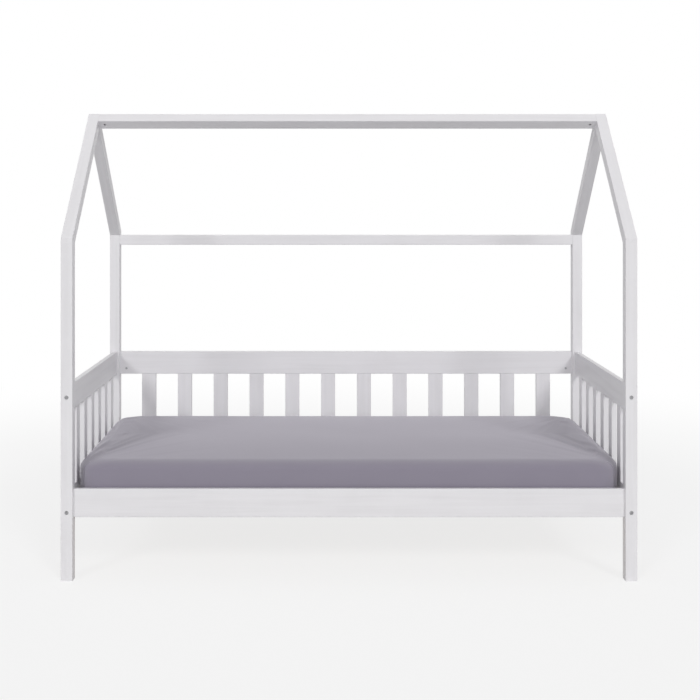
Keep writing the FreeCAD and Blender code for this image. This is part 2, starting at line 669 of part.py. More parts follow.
# Fittings are drawn up Z: a bolt or screw bears on its seat at zero, and a dowel or nut is
# centred there.
def round_bar(name, diameter, length, below="0"):
    """A body that starts as a plain round bar."""
    body = doc.addObject("PartDesign::Body", name)
    sketch = sketch_across(body, "Round", "Z", f"-({below})")
    draw_circles(sketch, [("0", "0")], diameter)
    return body, pad(body, sketch, "Z", length)


def headed(name, shank, length, head, head_height):
    """A shank with a round head below its seat."""
    body, _ = round_bar(name, shank, length)
    sketch = sketch_across(body, "Head", "Z")
    draw_circles(sketch, [("0", "0")], head)
    pad(body, sketch, "Z", head_height, towards=-1)
    return body


def key_bolt(name, length):
    """A round-headed bolt with a six-sided socket for its key."""
    body = headed(name, "Size.bolt_diameter", length, "Size.head_diameter", "Size.head_height")
    socket = sketch_across(body, "Socket", "Z", "-Size.head_height")
    corners = [
        (f"Size.key_flats / sqrt(3) * cos({turn})", f"Size.key_flats / sqrt(3) * sin({turn})")
        for turn in range(0, 360, 60)
    ]
    draw_outline(socket, corners)
    cut(body, socket, "Z", 1, "Size.key_depth")
    return body


rail_bolt = key_bolt("rail_bolt", "Fit.rail_bolt_length")
ridge_bolt = key_bolt("ridge_bolt", "Fit.ridge_bolt_length")

dowel, bar = round_bar("dowel", "Size.dowel_diameter", "Size.dowel_length", "Size.dowel_length / 2")
bevel = dowel.newObject("PartDesign::Chamfer", "Bevels")
bevel.Base = (bar, [f"Edge{n}" for n, edge in enumerate(bar.Shape.Edges, 1) if edge.isClosed()])
bevel.setExpression("Size", "Size.dowel_bevel")

nut, _ = round_bar("nut", "Size.nut_diameter", "Size.nut_length", "Size.nut_length / 2")
bore(nut, "Thread", "X", "-Size.nut_diameter / 2", 1, [("0", "0")],
     "Size.bolt_diameter + Size.nut_thread_clearance", "Size.nut_diameter")
slot = sketch_across(nut, "Slot", "Z", "Size.nut_length / 2")
draw_rectangle(slot, "-Size.nut_diameter / 2", "-Size.nut_slot / 2", "Size.nut_diameter", "Size.nut_slot")
cut(nut, slot, "Z", -1, "Size.nut_slot")

screw = headed("wood_screw", "Size.screw_diameter", "Size.screw_length",
               "Size.screw_head_diameter", "Size.screw_head_height")
for length, width in (("Size.screw_cross_length", "Size.screw_cross_width"),
                      ("Size.screw_cross_width", "Size.screw_cross_length")):
    arm = sketch_across(screw, "Cross", "Z", "-Size.screw_head_height")
    draw_rectangle(arm, f"-{length} / 2", f"-{width} / 2", length, width)
    cut(screw, arm, "Z", 1, "Size.screw_cross_depth")


def nut_turn(opening, bolt_way):
    """Turn a nut so that its slotted end faces its hole's mouth and its thread the bolt."""
    return FreeCAD.Rotation(bolt_way, opening.cross(bolt_way), opening, "ZXY")


end_bolt_places = []
long_bolt_places = []
ridge_bolt_places = []
nut_places = []
dowel_places = []
for (side, face) in POST_NAMES:
    post_x = f"{side} * Fit.post_x"
    post_y = f"{face} * Fit.post_y"
    for height in END_BOLTS:
        end_bolt_places.append((rail_bolt, post_x, f"{face} * (Fit.half_width - Size.head_recess)",
                                height, pointing(Y_WAY * -face)))
        nut_y = f"{face} * (Fit.end_rail_length / 2 - Size.rail_nut_offset)"
        nut_places.append((nut, post_x, nut_y, height, nut_turn(X_WAY * side, Y_WAY)))
    for height in END_DOWELS:
        dowel_places.append((dowel, post_x, f"{face} * Fit.end_rail_length / 2", height, pointing(Y_WAY)))
    for height in LONG_BOLTS[face]:
        long_bolt_places.append((rail_bolt, f"{side} * (Fit.half_length - Size.head_recess)", post_y,
                                 height, pointing(X_WAY * -side)))
        nut_x = f"{side} * (Fit.inner_length / 2 - Size.rail_nut_offset)"
        opening = -Z_WAY if height == "Fit.eave_bolt" else Y_WAY * -face
        nut_places.append((nut, nut_x, post_y, height, nut_turn(opening, X_WAY)))
    for height in LONG_DOWELS[face]:
        dowel_places.append((dowel, f"{side} * Fit.inner_length / 2", post_y, height, pointing(X_WAY)))
    for way in (-1, 1):
        dowel_places.append((dowel, post_x, f"{post_y} + {way} * Size.seat_dowel_spread",
                             "Size.post_height", None))

lower_front = -(Y_WAY + Z_WAY).normalize()
for side in (LEFT, RIGHT):
    ridge_bolt_places.append((ridge_bolt, f"{side} * (Fit.half_length - Size.head_recess)", "0",
                              "Fit.ridge_axis", pointing(X_WAY * -side)))
    nut_places.append((nut, f"{side} * (Fit.inner_length / 2 - Size.ridge_nut_offset)", "0",
                       "Fit.ridge_axis", nut_turn(lower_front, X_WAY)))
    for way in (-1, 1):
        dowel_places.append((dowel, f"{side} * Fit.post_x + {way} * Size.mitre_dowel_spread", "0",
                             "Fit.mitre_dowel", pointing(Y_WAY)))
        dowel_places.append((dowel, f"{side} * Fit.inner_length / 2", f"{way} * Size.ridge_dowel_spread",
                             "Fit.ridge_axis", pointing(X_WAY)))

ledge_screw_places = []
slat_screw_places = []
for face in (FRONT, BACK):
    for index in range(int(now("Size.ledge_screw_count"))):
        screw_x = f"Size.ledge_screw_margin - Fit.ledge_length / 2 + {index} * Fit.ledge_screw_pitch"
        bearing = f"{face} * (Fit.inner_width / 2 - Size.ledge_thickness + Size.screw_head_recess)"
        ledge_screw_places.append((screw, screw_x, bearing, "Fit.ledge_bottom + Size.ledge_height / 2",
                                   pointing(Y_WAY * face)))
    for side in (LEFT, RIGHT):
        slat_screw_places.append((screw, f"{side} * Fit.end_slat_x", f"{face} * Fit.ledge_y",
                                  "Fit.base_top - Size.screw_head_recess", pointing(-Z_WAY)))

group("guard_post_bolts", end_bolt_places)
group("rail_post_bolts", long_bolt_places)
group("ridge_bolts", ridge_bolt_places)
group("barrel_nuts", nut_places)
group("dowels", dowel_places)
group("ledge_screws", ledge_screw_places)
group("slat_screws", slat_screw_places)


# ---- Mattress and fitted sheet ---------------------------------------------------------------

def mattress_outline(inset, height):
    """The mattress seen from above, drawn in between its round corners, at one height."""
    half_l = now("Size.mattress_length") / 2 - inset
    half_w = now("Size.mattress_width") / 2 - inset
    radius = max(now("Size.mattress_corner") - inset, now("Size.mattress_least_corner"))
    hollow = now("Size.mattress_draw_in")
    spot = FreeCAD.Vector
    bend = radius * (1 - 0.5 ** 0.5)
    edges = []
    for x_way, y_way in ((1, -1), (1, 1), (-1, 1), (-1, -1)):
        along_x = spot(x_way * (half_l - radius), y_way * half_w, height)
        along_y = spot(x_way * half_l, y_way * (half_w - radius), height)
        corner = spot(x_way * (half_l - bend), y_way * (half_w - bend), height)
        start, end = (along_x, along_y) if x_way * y_way < 0 else (along_y, along_x)
        edges.append(Part.Arc(start, corner, end).toShape())
        if x_way * y_way < 0:
            middle = spot(x_way * (half_l - hollow), 0, height)
            after = spot(x_way * half_l, -y_way * (half_w - radius), height)
        else:
            middle = spot(0, y_way * (half_w - hollow), height)
            after = spot(-x_way * (half_l - radius), y_way * half_w, height)
        edges.append(Part.Arc(end, middle, after).toShape())
    return Part.Wire(edges)


def mattress_form(skin):
    """The mattress's own form, a given way inside its sheet's outer face."""
    low = now("Size.mattress_bottom_round")
    width = now("Size.shoulder_width")
    drop = now("Size.shoulder_height")
    side = now("Size.mattress_side")
    reach = now("Size.crown_reach")
    # Each level is an inset and a height: round the lower edge, over the soft shoulder that the
    # sheet pulls down along the upper edge, and up the crown.
    turns = [math.radians(angle) for angle in (0, 30, 60, 90)]
    lower = [(low - (low - skin) * math.sin(turn), low - (low - skin) * math.cos(turn)) for turn in turns]
    upper = [
        (width - (width - skin) * math.cos(turn), side - drop + (drop - skin) * math.sin(turn))
        for turn in turns
    ]
    crown = [
        (width + (reach - width) * part, side - skin + now("Size.mattress_crown") * part * (2 - part))
        for part in (0, 0.5, 1)
    ]
    faces = []
    for levels in (lower, [lower[-1], upper[0]], upper, crown):
        wires = [mattress_outline(inset, height) for inset, height in levels]
        faces += Part.makeLoft(wires, False, len(wires) == 2).Faces
    faces.append(Part.Face(mattress_outline(*lower[0])))
    faces.append(Part.Face(mattress_outline(*crown[-1])))
    shell = Part.makeShell(faces)
    shell.sewShape()
    return Part.makeSolid(shell)


bed_height = now("Fit.base_top") + now("Size.soft_clearance")
on_slats = FreeCAD.Placement(FreeCAD.Vector(0, 0, bed_height), FreeCAD.Rotation())

core = doc.addObject("Part::Feature", "mattress_core")
core.Shape = mattress_form(now("Size.sheet_thickness") + now("Size.soft_clearance"))
core.Placement = on_slats
node("mattress_core", core)

# The sheet is tucked under, open inside its elastic hem. The opening is cut through the cloth
# and as far again above and below it.
tuck = now("Size.sheet_tuck")
thickness = now("Size.sheet_thickness")
opening = Part.makeBox(now("Size.mattress_length") - 2 * tuck, now("Size.mattress_width") - 2 * tuck,
                       3 * thickness, FreeCAD.Vector(tuck - now("Size.mattress_length") / 2,
                                                     tuck - now("Size.mattress_width") / 2, -thickness))
cloth = doc.addObject("Part::Feature", "fitted_sheet")
cloth.Shape = mattress_form(0).cut(mattress_form(thickness)).cut(opening).Solids[0]
cloth.Placement = on_slats
node("fitted_sheet", cloth)


# ---- Check and write -------------------------------------------------------------------------

# The smallest real cut, in the screws' heads, takes out some cubic millimetres.
LEAST_CUT = 0.5

doc.recompute()
for item in doc.Objects:
    if "Invalid" in item.State or "Error" in item.State:
        raise RuntimeError(f"{item.Label} failed: {item.State}")
    if item.TypeId == "PartDesign::Pocket":
        taken = item.BaseFeature.Shape.Volume - item.Shape.Volume
        if taken < LEAST_CUT:
            raise RuntimeError(f"{item.Label} cuts nothing")

os.makedirs("parts", exist_ok=True)
for name, piece in nodes.items():
    shape = piece.Shape
    if shape.isNull() or not shape.isValid() or not shape.Solids:
        raise RuntimeError(f"{name} has no sound solid")
    shape.exportStep(f"parts/{name}.step")
print(len(nodes), "nodes written")
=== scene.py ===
import math

import bmesh
import bpy
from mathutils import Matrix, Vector


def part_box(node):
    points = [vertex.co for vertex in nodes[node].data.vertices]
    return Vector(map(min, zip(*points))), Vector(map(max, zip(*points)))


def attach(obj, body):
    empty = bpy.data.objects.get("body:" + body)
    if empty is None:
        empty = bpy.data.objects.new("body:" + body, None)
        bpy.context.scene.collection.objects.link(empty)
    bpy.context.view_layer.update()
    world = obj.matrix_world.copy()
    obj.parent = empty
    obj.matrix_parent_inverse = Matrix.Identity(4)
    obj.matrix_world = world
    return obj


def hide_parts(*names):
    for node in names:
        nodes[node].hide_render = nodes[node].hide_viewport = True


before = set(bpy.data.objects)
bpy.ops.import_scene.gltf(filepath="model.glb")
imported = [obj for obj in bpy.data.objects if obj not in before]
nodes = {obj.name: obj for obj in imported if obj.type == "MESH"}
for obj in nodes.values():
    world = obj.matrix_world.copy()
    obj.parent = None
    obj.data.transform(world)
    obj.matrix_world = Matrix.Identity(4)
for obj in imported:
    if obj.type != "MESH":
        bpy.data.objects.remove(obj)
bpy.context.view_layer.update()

# ---- Posts -----------------------------------------------------------------------------------
# Four square posts of planed softwood with eased arrises, sprayed with white satin lacquer. The
# grain still stands up a little under it. Every rail and beam is drawn against them by bolts.


class Wire:
    """A shader socket to reckon with: an expression on it adds the Math nodes that it needs."""

    def __init__(self, tree, socket):
        self.tree = tree
        self.socket = socket

    def joined(self, operation, terms):
        made = self.tree.nodes.new("ShaderNodeMath")
        made.operation = operation
        for socket, term in zip(made.inputs, terms):
            if isinstance(term, Wire):
                self.tree.links.new(term.socket, socket)
            else:
                socket.default_value = term
        return Wire(self.tree, made.outputs[0])

    def maths(self, operation, *others):
        """Any other operation of a Math node on this value, such as SINE."""
        return self.joined(operation, (self, *others))

    def __add__(self, other):
        return self.joined("ADD", (self, other))

    def __sub__(self, other):
        return self.joined("SUBTRACT", (self, other))

    def __rsub__(self, other):
        return self.joined("SUBTRACT", (other, self))

    def __mul__(self, other):
        return self.joined("MULTIPLY", (self, other))

    def __truediv__(self, other):
        return self.joined("DIVIDE", (self, other))

    def __pow__(self, other):
        return self.joined("POWER", (self, other))

    __radd__ = __add__
    __rmul__ = __mul__


class Finish:
    """The nodes of a material, or of the studio's light, as they are put together."""

    def __init__(self, owner):
        self.owner = owner
        owner.use_nodes = True
        self.tree = owner.node_tree
        self.tree.nodes.clear()

    def node(self, kind, settings, values, output=0):
        """Add a node of a kind: its settings first, then a value or a link for each socket."""
        made = self.tree.nodes.new("ShaderNode" + kind)
        for name, setting in settings.items():
            setattr(made, name, setting)
        for name, value in values.items():
            if isinstance(value, Wire):
                self.tree.links.new(value.socket, made.inputs[name])
            else:
                made.inputs[name].default_value = value
        return Wire(self.tree, made.outputs[output]) if made.outputs else None

    def noise(self, place, scale, detail=2.0, distortion=0.0):
        """Soft random patches, from 0 to 1, so many of them to a metre."""
        return self.node("TexNoise", {}, {"Vector": place, "Scale": scale, "Detail": detail,
                                          "Distortion": distortion})

    def eased(self, value, low, high):
        """How far a value has come from low to high, eased at both ends."""
        return self.node("MapRange", {"interpolation_type": "SMOOTHSTEP"},
                         {"Value": value, "From Min": low, "From Max": high})

    def between(self, share, first, second):
        """The first colour, turning into the second by a share."""
        return self.node("Mix", {"data_type": "RGBA"}, {0: share, 6: first, 7: second}, 2)

    def drawn_out(self, place, grain, stretch):
        """A place squeezed along the grain, so that a pattern on it is drawn out that way."""
        run = self.node("VectorMath", {"operation": "DOT_PRODUCT"}, {0: place, 1: grain}, "Value")
        taken = self.node("VectorMath", {"operation": "SCALE"},
                          {0: grain, "Scale": run * (1 - 1 / stretch)})
        return self.node("VectorMath", {"operation": "SUBTRACT"}, {0: place, 1: taken})

    def coordinate(self, axis):
        """A place along X, Y or Z, in metres."""
        place = self.node("TexCoord", {}, {}, "Object")
        return self.node("SeparateXYZ", {}, {0: place}, axis)

    def own_place(self, own=None):
        """Places in metres, moved aside by a number of the piece's own, so no two look the same."""
        place = self.node("TexCoord", {}, {}, "Object")
        own = own or self.node("ObjectInfo", {}, {}, "Random")
        farthest = (9, 5, 7)
        aside = self.node("CombineXYZ", {}, {axis: own * metres for axis, metres in enumerate(farthest)})
        return self.node("VectorMath", {"operation": "ADD"}, {0: place, 1: aside})

    def raised(self, height, distance):
        """A normal that follows a height from 0 to 1, over a real distance in metres."""
        return self.node("Bump", {}, {"Strength": 1.0, "Distance": distance, "Height": height})

    def surface(self, values):
        """Finish with the surface's shader."""
        shader = self.node("BsdfPrincipled", {}, values)
        self.node("OutputMaterial", {}, {"Surface": shader})
        return self.owner


def lacquer(name, grain):
    """White satin lacquer over softwood whose grain runs a given way."""
    coat = Finish(bpy.data.materials.new(name))
    place = coat.own_place()
    growth = coat.noise(coat.drawn_out(place, grain, 26), 55, 2, 0.5)
    fibre = coat.noise(coat.drawn_out(place, grain, 40), 700, 2)
    peel = coat.noise(place, 320, 1)
    cloudy = coat.noise(place, 7, 2)
    full = (0.800, 0.790, 0.812, 1)
    thin = (0.755, 0.744, 0.764, 1)
    return coat.surface({
        "Base Color": coat.between(coat.eased(growth * 0.6 + cloudy * 0.4, 0.35, 0.75), full, thin),
        "Roughness": 0.36 + 0.14 * coat.eased(peel * 0.5 + growth * 0.5, 0.3, 0.8),
        "Specular IOR Level": 0.45,
        "Normal": coat.raised(growth * 0.55 + fibre * 0.25 + peel * 0.2, 0.0005),
    })


def dress(names, material):
    """Give pieces their finish."""
    for name in names:
        nodes[name].material_slots[0].material = material


upright_lacquer = lacquer("white_lacquer_upright", (0, 0, 1))
dress(["front_left_post", "front_right_post", "back_left_post", "back_right_post"], upright_lacquer)


# ---- Rafters ---------------------------------------------------------------------------------
# Two rafters to each gable, of the posts' own section, doweled onto the posts and to each other
# at the mitre under the ridge. Their grain climbs with the roof.

climb = math.sqrt(0.5)
front_slope_lacquer = lacquer("white_lacquer_front_slope", (0, climb, climb))
dress(["front_left_rafter", "front_right_rafter"], front_slope_lacquer)
back_slope_lacquer = lacquer("white_lacquer_back_slope", (0, -climb, climb))
dress(["back_left_rafter", "back_right_rafter"], back_slope_lacquer)


# ---- Ridge beam and eave beam ----------------------------------------------------------------
# Two long square beams, the ridge set on edge between the gables' mitres and the eave beam flush
# with the tops of the back posts. Each is held by a bolt and dowels at both ends.

long_lacquer = lacquer("white_lacquer_lengthwise", (1, 0, 0))
dress(["ridge_beam", "eave_beam"], long_lacquer)


# ---- Guards and front rail -------------------------------------------------------------------
# Thin planed rails between the posts. The back and end guards have upright slats, tenoned into
# the rails above and below, and the front has only its low rail.

dress(["front_rail", "back_bottom_rail", "back_guard_top_rail"], long_lacquer)
cross_lacquer = lacquer("white_lacquer_crosswise", (0, 1, 0))
for end in ("left", "right"):
    dress([f"{end}_guard_bottom_rail", f"{end}_guard_top_rail"], cross_lacquer)
dress([name for name in nodes if "_guard_slat_" in name], upright_lacquer)


# ---- Bolts, barrel nuts, dowels and screws ---------------------------------------------------
# Zinc-plated connector bolts, tightened with a key into barrel nuts in the rails, beside fluted
# beech dowels. Yellow-plated screws hold the ledges and the outermost slats.


def plated(name, dark, light, roughness):
    """Plated steel, dulled in patches and finely brushed by its tools."""
    steel = Finish(bpy.data.materials.new(name))
    place = steel.own_place()
    dull = steel.eased(steel.noise(place, 260, 3), 0.35, 0.7)
    scuffs = steel.noise(steel.drawn_out(place, (0, 0, 1), 12), 2600, 2)
    return steel.surface({
        "Base Color": steel.between(dull, dark, light),
        "Metallic": 1.0,
        "Roughness": roughness + 0.18 * dull,
        "Normal": steel.raised(scuffs, 0.00004),
    })


bolt_steel = plated("dark_plated_steel", (0.30, 0.30, 0.31, 1), (0.42, 0.42, 0.43, 1), 0.30)
dress(["guard_post_bolts", "rail_post_bolts", "ridge_bolts"], bolt_steel)
nut_steel = plated("bright_plated_steel", (0.42, 0.42, 0.44, 1), (0.55, 0.55, 0.57, 1), 0.28)
dress(["barrel_nuts"], nut_steel)
screw_steel = plated("yellow_plated_steel", (0.60, 0.50, 0.27, 1), (0.72, 0.64, 0.40, 1), 0.26)
dress(["ledge_screws", "slat_screws"], screw_steel)

beech = Finish(bpy.data.materials.new("fluted_beech"))
pores = beech.noise(beech.drawn_out(beech.own_place(), (1, 0, 0), 14), 1500, 3)
dress(["dowels"], beech.surface({
    "Base Color": beech.between(beech.eased(pores, 0.4, 0.75),
                                (0.66, 0.47, 0.29, 1), (0.50, 0.32, 0.18, 1)),
    "Roughness": 0.55 + 0.2 * pores,
    "Normal": beech.raised(pores, 0.00015),
}))


# ---- Ledges and bed slats --------------------------------------------------------------------
# Bare planed pine: two square ledges screwed along the rails, and fourteen slats across them.
# Each is its own board, some redder and some paler, with dark growth rings and a few knots.

slat_low, slat_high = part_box("bed_slats")
slat_count = 14
slat_width = 0.070
slat_pitch = (slat_high.x - slat_low.x - slat_width) / (slat_count - 1)


def bare_pine(name, grain, count_along):
    """Planed pine: pale early wood, brown late wood in drawn-out rings, and knots."""
    wood = Finish(bpy.data.materials.new(name))
    number = wood.node("ObjectInfo", {}, {}, "Random")
    if count_along:
        spacing_middle = slat_low.x + slat_width / 2 - slat_pitch / 2
        number = ((wood.coordinate(count_along) - spacing_middle) / slat_pitch).maths("FLOOR")
    own = wood.node("TexWhiteNoise", {"noise_dimensions": "1D"}, {"W": number})
    place = wood.own_place(own)
    ring_pitch = 0.0055
    ring_wander = 22
    across_grain = wood.drawn_out(place, grain, 400)
    from_pith = wood.node("VectorMath", {"operation": "LENGTH"}, {0: across_grain}, "Value")
    wander = wood.noise(wood.drawn_out(place, grain, 7), 11, 2)
    growth = (from_pith * (2 * math.pi / ring_pitch) + wander * ring_wander).maths("SINE")
    late = (growth * 0.5 + 0.5) ** 2.5
    fibre = wood.noise(wood.drawn_out(place, grain, 60), 900, 3)
    knots_to_metre = 4.5
    knot_heart, knot_edge = 0.03, 0.06
    from_knot = wood.node("TexVoronoi", {}, {"Vector": wood.drawn_out(place, grain, 1.6),
                                             "Scale": knots_to_metre})
    knot = 1 - wood.eased(from_knot, knot_heart, knot_edge)
    early_wood = wood.between(own, (0.74, 0.56, 0.36, 1), (0.67, 0.47, 0.28, 1))
    striped = wood.between(late * 0.5 + fibre * 0.2, early_wood, (0.47, 0.27, 0.12, 1))
    return wood.surface({
        "Base Color": wood.between(knot, striped, (0.24, 0.12, 0.055, 1)),
        "Roughness": 0.52 + 0.16 * fibre - 0.1 * late,
        "Normal": wood.raised(fibre * 0.5 + late * 0.4 + knot * 0.1, 0.0003),
    })


dress(["front_ledge", "back_ledge"], bare_pine("pine_lengthwise", (1, 0, 0), None))
dress(["bed_slats"], bare_pine("pine_crosswise", (0, 1, 0), "X"))


# ---- Slat webbing ----------------------------------------------------------------------------
# Two woven bands stapled to the underside of every slat, which keep the slats at their spacing
# when the base is unrolled. Between two slats the band hangs slack by a millimetre or so.


def mesh_piece(name, mesh, material, body):
    """A new piece of the object, smooth all over, which rides with a body."""
    for face in mesh.polygons:
        face.use_smooth = True
    mesh.materials.append(material)
    piece = bpy.data.objects.new(name, mesh)
    bpy.context.scene.collection.objects.link(piece)
    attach(piece, body)
    return piece


def rows_mesh(name, rows, closed_across, closed_along):
    """A mesh over rows of points, each joined to the next."""
    mesh = bpy.data.meshes.new(name)
    width = len(rows[0])
    across = width if closed_across else width - 1
    along = len(rows) if closed_along else len(rows) - 1
    faces = []
    for row in range(along):
        below = row * width
        above = (row + 1) % len(rows) * width
        for spot in range(across):
            after = (spot + 1) % width
            faces.append((below + spot, below + after, above + after, above + spot))
    if closed_across and not closed_along:
        faces.append(tuple(range(width))[::-1])
        faces.append(tuple(range(along * width, along * width + width)))
    mesh.from_pydata([point for row in rows for point in row], [], faces)
    return mesh


def woven_band():
    """Off-white polyester webbing in a close herringbone."""
    band = Finish(bpy.data.materials.new("woven_band"))
    twill_pitch = 0.0016
    chevron_width = 0.003
    folded = band.coordinate("Y").maths("PINGPONG", chevron_width)
    twill = ((band.coordinate("X") + folded) * (2 * math.pi / twill_pitch)).maths("SINE") * 0.5 + 0.5
    fuzz = band.noise(band.own_place(), 1800, 2)
    return band.surface({
        "Base Color": band.between(twill * 0.6 + fuzz * 0.4,
                                   (0.50, 0.49, 0.45, 1), (0.74, 0.73, 0.69, 1)),
        "Roughness": 0.8,
        "Sheen Weight": 0.15,
        "Normal": band.raised(twill * 0.8 + fuzz * 0.2, 0.0004),
    })


webbing_low, webbing_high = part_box("slat_webbing")
band_width = 0.025
band_thickness = webbing_high.z - webbing_low.z
band_slack = 0.0016
band_steps = 230
band_shares = (0, 0.06, 0.5, 0.94, 1)
selvedge_thinned = 0.3
webbing = woven_band()
for side, edge in (("front", webbing_low.y), ("back", webbing_high.y - band_width)):
    rows = []
    for step in range(band_steps + 1):
        x = webbing_low.x + (webbing_high.x - webbing_low.x) * step / band_steps
        past_slat = (x - slat_low.x) % slat_pitch - slat_width
        free = max(0.0, past_slat) / (slat_pitch - slat_width)
        top = webbing_high.z - band_slack * math.sin(math.pi * free) ** 2
        upper = []
        lower = []
        for share in band_shares:
            thin = band_thickness * selvedge_thinned if share in (0, 1) else 0
            upper.append(Vector((x, edge + band_width * share, top - thin)))
            lower.append(Vector((x, edge + band_width * share, top - band_thickness + thin)))
        rows.append(upper + lower[::-1])
    band_name = f"{side}_webbing_band"
    band = mesh_piece(band_name, rows_mesh(band_name, rows, True, False), webbing, "frame")
    if side == "front":
        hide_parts("slat_webbing")


# ---- Webbing staples -------------------------------------------------------------------------
# One flat-wire staple to each crossing of a band and a slat, driven up through the band.


def one_mesh(name, meshes):
    """Several small meshes as one."""
    made = bmesh.new()
    for mesh in meshes:
        made.from_mesh(mesh)
    whole = bpy.data.meshes.new(name)
    made.to_mesh(whole)
    made.free()
    return whole


half_crown = 0.0055
wire_half_width = 0.0006
wire_half_height = 0.0003
leg_seen = 0.0008
bend = 0.0006
bend_drop = 0.0001
crown_drop = 0.0003
staple_line = ((-half_crown, leg_seen), (-half_crown, -bend_drop), (-half_crown + bend, -crown_drop),
               (half_crown - bend, -crown_drop), (half_crown, -bend_drop), (half_crown, leg_seen))
staples = []
for edge in (webbing_low.y, webbing_high.y - band_width):
    for number in range(slat_count):
        x = slat_low.x + slat_width / 2 + slat_pitch * number
        rows = []
        for across, up in staple_line:
            spot = Vector((x, edge + band_width / 2 + across, webbing_low.z + up))
            rows.append([
                spot + Vector((side_x * wire_half_width, 0, side_z * wire_half_height))
                for side_x, side_z in ((-1, -1), (1, -1), (1, 1), (-1, 1))
            ])
        staples.append(rows_mesh("staple", rows, True, False))
mesh_piece("webbing_staples", one_mesh("webbing_staples", staples), nut_steel, "frame")


# ---- Mattress --------------------------------------------------------------------------------
# A foam block in a quilted knitted cover, sold as 900 x 2000 mm and laid loose on the slats. The
# fitted sheet hides all of it but the underside, which shows inside the sheet's hem.

sheet_low, sheet_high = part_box("fitted_sheet")
half_length = sheet_high.x
half_width = sheet_high.y
plan_corner = 0.080
shoulder_width = 0.060
shoulder_height = 0.035
bottom_round = 0.018
crown_rise = 0.005
crown_reach = 0.300
draw_in = 0.002
front_sag = 0.009
front_sag_end = -0.05
field_inset = 0.085
cell = 0.0095
cells_along = round(2 * (half_length - field_inset) / cell)
cells_across = round(2 * (half_width - field_inset) / cell)
corner_cells = 8
tuck = 0.120
hem_corner = 0.030
hem_height = 0.003
level_slack = 0.0001
weld_distance = 0.00002


def corner_radius(inset, least=0.0):
    """The plan's corner at an inset: full at the sides and tighter inwards, down to a least one."""
    return max(plan_corner * math.sqrt(max(0.0, 1 - (inset / field_inset) ** 2)), least)


def ring(inset, radius, height, finer=1):
    """A closed row of points round the mattress, drawn in a little between its corners."""
    bow = draw_in * max(0.0, 1 - inset / field_inset)
    points = []
    for quarter in range(4):
        turn = math.radians(90 * quarter)
        out = Vector((math.cos(turn), math.sin(turn), 0))
        way = Vector((-math.sin(turn), math.cos(turn), 0))
        lengthwise = quarter % 2 == 1
        reach, half = (half_width, half_length) if lengthwise else (half_length, half_width)
        straight = 2 * (half - inset - radius)
        start = out * (reach - inset - radius) - way * straight / 2 + Vector((0, 0, height))
        round_cells = corner_cells * finer
        for step in range(round_cells):
            angle = turn - math.radians(90) * (1 - step / round_cells)
            points.append(start + radius * Vector((math.cos(angle), math.sin(angle), 0)))
        straight_cells = (cells_along if lengthwise else cells_across) * finer
        for step in range(straight_cells):
            share = step / straight_cells
            hollow = 4 * share * (1 - share) * bow
            points.append(start + out * (radius - hollow) + way * straight * share)
    return points


def level_field(height):
    """The points and faces of the level field inside the rounded rim."""
    points = []
    faces = []
    for row in range(cells_across + 1):
        y = (half_width - field_inset) * (2 * row / cells_across - 1)
        for column in range(cells_along + 1):
            x = (half_length - field_inset) * (2 * column / cells_along - 1)
            points.append(Vector((x, y, height)))
            if row and column:
                here = row * (cells_along + 1) + column
                below = here - cells_along - 1
                faces.append((below - 1, below, here, here - 1))
    return points, faces


def ease(value, low, high):
    """How far a value has come from low to high, from 0 to 1, eased at both ends."""
    share = min(1.0, max(0.0, (value - low) / (high - low)))
    return share * share * (3 - 2 * share)


def profile(skin):
    """Insets and heights from the field's rim over the soft shoulder, down and round the bottom."""
    top = sheet_high.z - crown_rise - skin
    bottom = sheet_low.z + skin
    lower = bottom_round - skin
    drop = shoulder_height - skin
    levels = [(field_inset, top)]
    shoulder_steps = 12
    for step in range(shoulder_steps + 1):
        angle = math.radians(90) * step / shoulder_steps
        levels.append((shoulder_width - (shoulder_width - skin) * math.sin(angle),
                       top - drop * (1 - math.cos(angle))))
    side_steps = 7
    bottom_steps = 4
    for step in range(1, side_steps):
        share = step / side_steps
        levels.append((skin, (top - drop) * (1 - share) + (bottom + lower) * share))
    for step in range(bottom_steps + 1):
        angle = math.radians(90) * step / bottom_steps
        levels.append((bottom_round - lower * math.cos(angle), bottom + lower * (1 - math.sin(angle))))
    return levels


def sit(point, bottom, top):
    """Lower a point as the open side, where the child gets in, is sat down: most at the top."""
    sat = front_sag * (1 - ease(point.y, -half_width, front_sag_end))
    point.z -= sat * (point.z - bottom) / (top - bottom)


def mattress_mesh(name, skin, under, least_corner):
    """The mattress's outside, a given way inside the sheet's: off the top, down and under."""
    levels = profile(skin)
    top = levels[0][1]
    bottom = levels[-1][1]
    rings = [ring(inset, corner_radius(inset), height) for inset, height in levels]
    rings += [ring(inset, corner_radius(inset, least_corner), bottom) for inset in under]
    points, faces = level_field(top)
    for number, row in enumerate(rings):
        first = len(points)
        points += row
        if number:
            for spot in range(len(row)):
                after = (spot + 1) % len(row)
                above = first - len(row)
                faces.append((above + spot, first + spot, first + after, above + after))
    if not least_corner:
        first = len(points)
        field, cells = level_field(bottom)
        points += field
        faces += [tuple(first + spot for spot in corners) for corners in cells]
    for point in points:
        if point.z > top - level_slack:
            rise = 1.0
            for in_from_edge in (half_length - abs(point.x), half_width - abs(point.y)):
                share = (in_from_edge - shoulder_width) / (crown_reach - shoulder_width)
                share = min(1.0, max(0.0, share))
                rise *= share * (2 - share)
            point.z += crown_rise * rise
        sit(point, bottom, top)
    mesh = bpy.data.meshes.new(name)
    mesh.from_pydata(points, [], faces)
    made = bmesh.new()
    made.from_mesh(mesh)
    bmesh.ops.remove_doubles(made, verts=made.verts, dist=weld_distance)
    bmesh.ops.recalc_face_normals(made, faces=made.faces)
    made.to_mesh(mesh)
    made.free()
    return mesh


